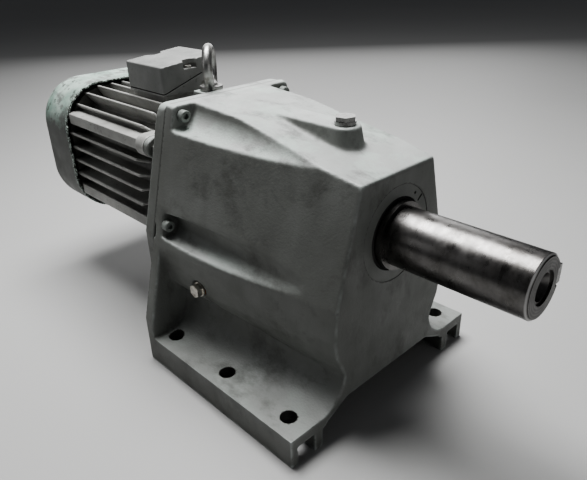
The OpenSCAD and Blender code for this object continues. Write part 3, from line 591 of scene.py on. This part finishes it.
def make_housing():
    """Case with cast edges. Its holes are filled and its joint face thickened before the edges are
    rounded, and cut again afterwards, so that what was machined stays crisp."""
    piece = copy_of("gear_housing", "housing_casting")
    seal_x = FRONT_X - SEAL_DEEP

    def plugs(work):
        for x, y in foot_holes():
            bar(work, (x, y, FOOT_TOP - FOOT_PLATE), (x, y, FOOT_TOP), FOOT_HOLE_R + PLUG_OVERLAP)
        bar(work, (seal_x, 0, AXIS_Z), (FRONT_X, 0, AXIS_Z), SEAL_R + SEAL_PLUG_OVERLAP, 96)

    def holes(work):
        slab(work, SEAM_X - FAR_PAST, SEAM_X)
        for x, y in foot_holes():
            bar(work, (x, y, -PAST), (x, y, FOOT_TOP + PAST), FOOT_HOLE_R)
        bar(work, (seal_x + 0.1, 0, AXIS_Z), (FRONT_X + PAST, 0, AXIS_Z), SEAL_R + SEAL_GAP, 128)
        bar(work, (FRONT_X - SHAFT_ROOM, 0, AXIS_Z), (seal_x + 2, 0, AXIS_Z), SEAL_R - SEAL_LEDGE, 96)

    def off_feet(spots):
        """The feet keep their crisp edges, and the walls above them are rounded fully."""
        return np.clip((spots[:, Z] - FOOT_TOP) / ROUND_FROM_FEET, FOOT_ROUNDING, 1)

    extend_face(piece, X, SEAM_X, -THICKER)
    join_into(piece, plugs)
    voxel(piece, size_mm=1.7)
    relax(piece, rounds=4, hold=((Z, 0),), where=off_feet)
    mark_convexity_and_level(piece)
    carve(piece, holes)
    settle(piece, "gear_housing", "housing", "housing")


def make_adapter():
    """Motor flange, rounded like the case and cut flat again where it meets it."""
    piece = copy_of("motor_adapter", "adapter_casting")
    low, high = box_mm("motor_adapter")
    extend_face(piece, X, high.x, THICKER)
    voxel(piece, size_mm=1.5)
    relax(piece, rounds=5, hold=((X, low.x),))
    mark_convexity_and_level(piece)
    carve(piece, lambda work: slab(work, high.x, high.x + FAR_PAST))
    settle(piece, "motor_adapter", "housing", "housing")


def make_stator():
    """Finned motor body with softened fin edges."""
    piece = copy_of("stator_housing", "finned_casting")
    low, high = box_mm("stator_housing")
    voxel(piece, size_mm=1.3)
    relax(piece, rounds=2, hold=((X, high.x), (X, low.x)))
    mark_convexity_and_level(piece, rounds=2)
    settle(piece, "stator_housing", "housing", "motor")


def make_eye():
    """Lifting eye with the flowing shape of a forging."""
    piece = copy_of("lifting_eye", "eye_forging")
    voxel(piece, size_mm=0.7)
    relax(piece, rounds=8)
    settle(piece, "lifting_eye", "housing", "eye")


# ---------- terminal box ----------

BOX_VOXEL = 0.9
# Screw notches of the cover: radius, floor, radius of the wall round them, how far the wall goes
# below the floor, how far its top stays under the cover's highest point, and how far it is inset.
NOTCH_R = 10
NOTCH_FLOOR_Z = 321
NOTCH_WALL_R = 12.5
NOTCH_WALL_ROOT = 3
NOTCH_WALL_TOP = 4.6
NOTCH_WALL_INSET = 1
NOTCH_CUT = 30
ARC_STEPS = 24


def make_box_base():
    """Lower half of the terminal box, with soft edges."""
    piece = copy_of("terminal_box_base", "box_base_casting")
    voxel(piece, BOX_VOXEL)
    relax(piece, rounds=2)
    mark_convexity_and_level(piece, rounds=1)
    settle(piece, "terminal_box_base", "housing", "box")


def make_box_cover():
    """Box cover with a half-round wall behind each screw notch, which closes it towards the inside."""
    piece = copy_of("terminal_box_cover", "box_cover_casting")
    low, high = box_mm("terminal_box_cover")

    def walls(work):
        for face_x, inward in ((low.x, 1), (high.x, -1)):
            arcs = []
            for z in (NOTCH_FLOOR_Z - NOTCH_WALL_ROOT, high.z - NOTCH_WALL_TOP):
                arc = []
                for k in range(ARC_STEPS + 1):
                    a = math.pi * k / ARC_STEPS
                    x = face_x + inward * (NOTCH_WALL_INSET + NOTCH_WALL_R * math.sin(a))
                    arc.append(work.verts.new((x * MM, NOTCH_WALL_R * math.cos(a) * MM, z * MM)))
                arcs.append(arc)
            bridge(work, *arcs)
            for arc in arcs:
                work.faces.new(arc)
            bmesh.ops.recalc_face_normals(work, faces=work.faces)

    def notches(work):
        for x in (low.x, high.x):
            bar(work, (x, 0, NOTCH_FLOOR_Z), (x, 0, NOTCH_FLOOR_Z + NOTCH_CUT), NOTCH_R)

    join_into(piece, walls)
    voxel(piece, BOX_VOXEL)
    relax(piece, rounds=2)
    carve(piece, notches)
    mark_convexity_and_level(piece, rounds=1)
    settle(piece, "terminal_box_cover", "housing", "box")


# ---------- fan cover ----------

# Corner radius of its outline, radius of the bend at the rear, thickness of the sheet.
COVER_CORNER = 60
COVER_BEND = 28
COVER_SHEET = 2.5
# Grille slots: their spacing, half width, half height in the middle, and how much each next one loses.
SLOT_STEP = 14
SLOT_R = 3.5
SLOT_REACH = 62
SLOT_SHORTER = 5
COVER_SCREW_R = 2.9
COVER_SCREW_Y = 60
COVER_SCREW_Z = 50
CORNER_POINTS = 25
RIM_STEPS = 6
BEND_STEPS = 12


def rounded_loop(half_y, half_z, corner):
    """Points (y, z) of a rounded rectangle, the same number on each corner."""
    found = []
    for k, (sign_y, sign_z) in enumerate(((1, 1), (-1, 1), (-1, -1), (1, -1))):
        for i in range(CORNER_POINTS):
            a = math.pi / 2 * (k + i / (CORNER_POINTS - 1))
            found.append((sign_y * (half_y - corner) + corner * math.cos(a),
                          sign_z * (half_z - corner) + corner * math.sin(a)))
    return found


def fray(piece, rim_x, deep, reach):
    """Bends the rim back unevenly, as on a sheet edge that has been knocked about: by up to deep,
    over the last reach millimetres."""
    spots = points_of(piece.data)
    turn = np.arctan2(spots[:, Z] - AXIS_Z * MM, spots[:, Y])
    ragged = np.sin(31 * turn) + np.sin(53 * turn + 1)
    ragged += 0.7 * np.sin(89 * turn + 2) + 0.5 * np.sin(7 * turn)
    near = np.clip((spots[:, X] / MM - rim_x + reach) / reach, 0, 1)
    spots[:, X] -= near ** 2 * np.clip(0.35 + 0.3 * ragged, 0, 1) * deep * MM
    piece.data.vertices.foreach_set("co", spots.ravel())
    piece.data.update()


def cover_profile(low_x, rim_x, shrink):
    """(x, inset) pairs from the rim, round the bend, to the flat rear face."""
    radius = COVER_BEND - shrink
    bend_x = low_x + COVER_BEND
    line = [(rim_x + (bend_x - rim_x) * k / RIM_STEPS, shrink) for k in range(RIM_STEPS)]
    for k in range(BEND_STEPS + 1):
        a = math.pi / 2 * k / BEND_STEPS
        line.append((bend_x - radius * math.sin(a), COVER_BEND - radius * math.cos(a)))
    return line


def cover_skin(work, line, half_y, half_z):
    """Adds one closed-ended skin of the cover and returns its open rim."""
    loops = []
    for x, inset in line:
        outline = rounded_loop(half_y - inset, half_z - inset, COVER_CORNER - inset)
        loops.append([work.verts.new((x * MM, y * MM, (AXIS_Z + z) * MM)) for y, z in outline])
    for near, far in zip(loops, loops[1:]):
        bridge(work, near, far)
    work.faces.new(loops[-1])
    return loops[0]


def make_fan_cover():
    """Pressed cover with its grille and a battered rim. The round slot ends are cut a little less
    deep than the slots, so that no two faces of the cutters coincide."""
    low, high = box_mm("fan_cover")
    half_z = (high.z - low.z) / 2
    outside_x, inside_x = low.x - 5, low.x + 10

    def fill(work):
        outer = cover_skin(work, cover_profile(low.x, high.x, 0), high.y, half_z)
        inner = cover_skin(work, cover_profile(low.x, high.x, COVER_SHEET), high.y, half_z)
        bridge(work, outer, inner)
        bmesh.ops.remove_doubles(work, verts=work.verts, dist=1e-7)
        bmesh.ops.triangulate(work, faces=[f for f in work.faces if len(f.verts) > 4])
        bmesh.ops.recalc_face_normals(work, faces=work.faces)

    def slots():
        """(y, half length between the round ends) of each grille slot."""
        for k in range(-4, 5):
            yield SLOT_STEP * k, SLOT_REACH - SLOT_SHORTER * abs(k) - SLOT_R

    def grille(work):
        for y, half in slots():
            brick(work, (outside_x, y - SLOT_R, AXIS_Z - half),
                  (inside_x, y + SLOT_R, AXIS_Z + half))

    def ends_and_screw_holes(work):
        for y, half in slots():
            for z in (AXIS_Z - half, AXIS_Z + half):
                bar(work, (outside_x + 1, y, z), (inside_x - 1, y, z), SLOT_R, 24)
        for y in (-COVER_SCREW_Y, COVER_SCREW_Y):
            for z in (AXIS_Z - COVER_SCREW_Z, AXIS_Z + COVER_SCREW_Z):
                bar(work, (outside_x, y, z), (inside_x, y, z), COVER_SCREW_R, 24)

    piece = mesh_of("cover_pressing", fill)
    carve(piece, grille)
    carve(piece, ends_and_screw_holes)
    voxel(piece, size_mm=1.0)
    relax(piece, rounds=2, hold=((X, high.x),))
    fray(piece, high.x, deep=3.5, reach=9)
    settle(piece, "fan_cover", "housing", "cover")


# ---------- small pieces ----------

# Section of the lip: how far behind the front face of the case, and radius.
LIP_SECTION = [(3.8, 35.1), (3.8, 37.9), (1.2, 37.9), (0.6, 37.2), (1.6, 36.2), (0.4, 35.3),
               (0.9, 35.05)]


def make_seal_lip():
    """Rubber dust lip in the recess round the shaft."""
    piece = lathe("seal_lip", [(FRONT_X - deep, radius) for deep, radius in LIP_SECTION], 160)
    shade(piece)
    dress(piece, "rubber")
    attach(piece, "housing")


make_housing()
make_adapter()
make_stator()
make_box_base()
make_box_cover()
make_eye()
make_fan_cover()
make_seal_lip()

NODE_MATERIALS = {
    "flat_paint": ["output_seal", "housing_gasket"],
    "rubber": ["terminal_box_gasket", "motor_seal"],
    "painted_bolts": ["adapter_screws"],
    "bolts": ["tie_bolts", "fan_cover_screws", "terminal_cover_screws"],
    "shaft": ["output_shaft"],
    "gears": ["output_gear", "output_gear_key", "output_spacer",
              "output_front_bearing", "output_rear_bearing",
              "intermediate_shaft", "intermediate_gear", "intermediate_key", "intermediate_circlip",
              "intermediate_front_bearing", "intermediate_rear_bearing",
              "motor_shaft", "input_pinion", "input_pinion_key",
              "motor_front_bearing", "motor_rear_bearing", "wave_washer", "fan_circlip"],
    "laminations": ["rotor_core", "stator_core"],
    "copper": ["stator_winding", "level_washer"],
    "motor": ["rear_endshield"],
    "plastic": ["fan", "terminal_board", "cable_entry_plug"],
    "dark": ["vent_plug", "vent_washer", "output_key"],
    "bright": ["level_plug", "earth_screw"],
    "brass": ["terminal_studs"],
}
for material, nodes in NODE_MATERIALS.items():
    for node in nodes:
        dress_node(node, material)


# ---------- stage ----------

def make_floor():
    """Plain pale floor under the feet."""
    def fill(work):
        bmesh.ops.create_grid(work, x_segments=1, y_segments=1, size=14)
    floor = mesh_of("floor", fill)
    s = Shader("floor_pale", roughness=0.6)
    colour = s.mix(s.noise(1.5, 3), (0.42, 0.42, 0.415), (0.46, 0.46, 0.455))
    floor.data.materials.append(s.finish(colour))


def area_light(name, place, aim, size, power):
    """A soft box at place that points to aim."""
    lamp = bpy.data.lights.new(name, "AREA")
    lamp.shape = "RECTANGLE"
    lamp.size, lamp.size_y = size
    lamp.energy = power
    made = bpy.data.objects.new(name, lamp)
    bpy.context.scene.collection.objects.link(made)
    made.location = place
    made.rotation_euler = (Vector(aim) - Vector(place)).to_track_quat("-Z", "Y").to_euler()


def make_light():
    """Dim room, a soft box above and one behind, and two weak fills."""
    world = bpy.data.worlds.new("studio")
    world.use_nodes = True
    sky = world.node_tree.nodes["Background"]
    sky.inputs[0].default_value = (0.86, 0.88, 0.92, 1)
    sky.inputs[1].default_value = 0.07
    bpy.context.scene.world = world
    area_light("overhead", (-0.35, 0.10, 1.5), (-0.05, 0, 0.15), (0.9, 0.7), 38)
    area_light("rear_sheen", (-1.5, 1.4, 1.0), (0, 0, 0.25), (2.2, 1.2), 18)
    area_light("front_fill", (1.9, 0.2, 0.5), (0.1, 0, 0.15), (1.4, 0.9), 3.5)
    area_light("motor_fill", (-0.9, -1.1, 0.7), (-0.3, 0, 0.2), (0.8, 0.6), 1.2)
    bpy.context.scene.view_settings.look = "AgX - Medium High Contrast"


def make_camera():
    """The photograph's viewpoint: high, from the shaft's end, with a slight roll."""
    lens = bpy.data.cameras.new("camera")
    lens.sensor_width = 36
    lens.lens = 35.82
    camera = bpy.data.objects.new("camera", lens)
    bpy.context.scene.collection.objects.link(camera)
    place = Vector((0.4244, -0.4225, 0.4540))
    aim = Vector((0, -0.0204, 0.1581))
    roll = math.radians(1.795)
    facing = (aim - place).to_track_quat("-Z", "Y").to_matrix().to_4x4()
    camera.matrix_world = Matrix.Translation(place) @ facing @ Matrix.Rotation(-roll, 4, "Z")
    lens.clip_start = 0.01
    bpy.context.scene.camera = camera


make_floor()
make_light()
make_camera()
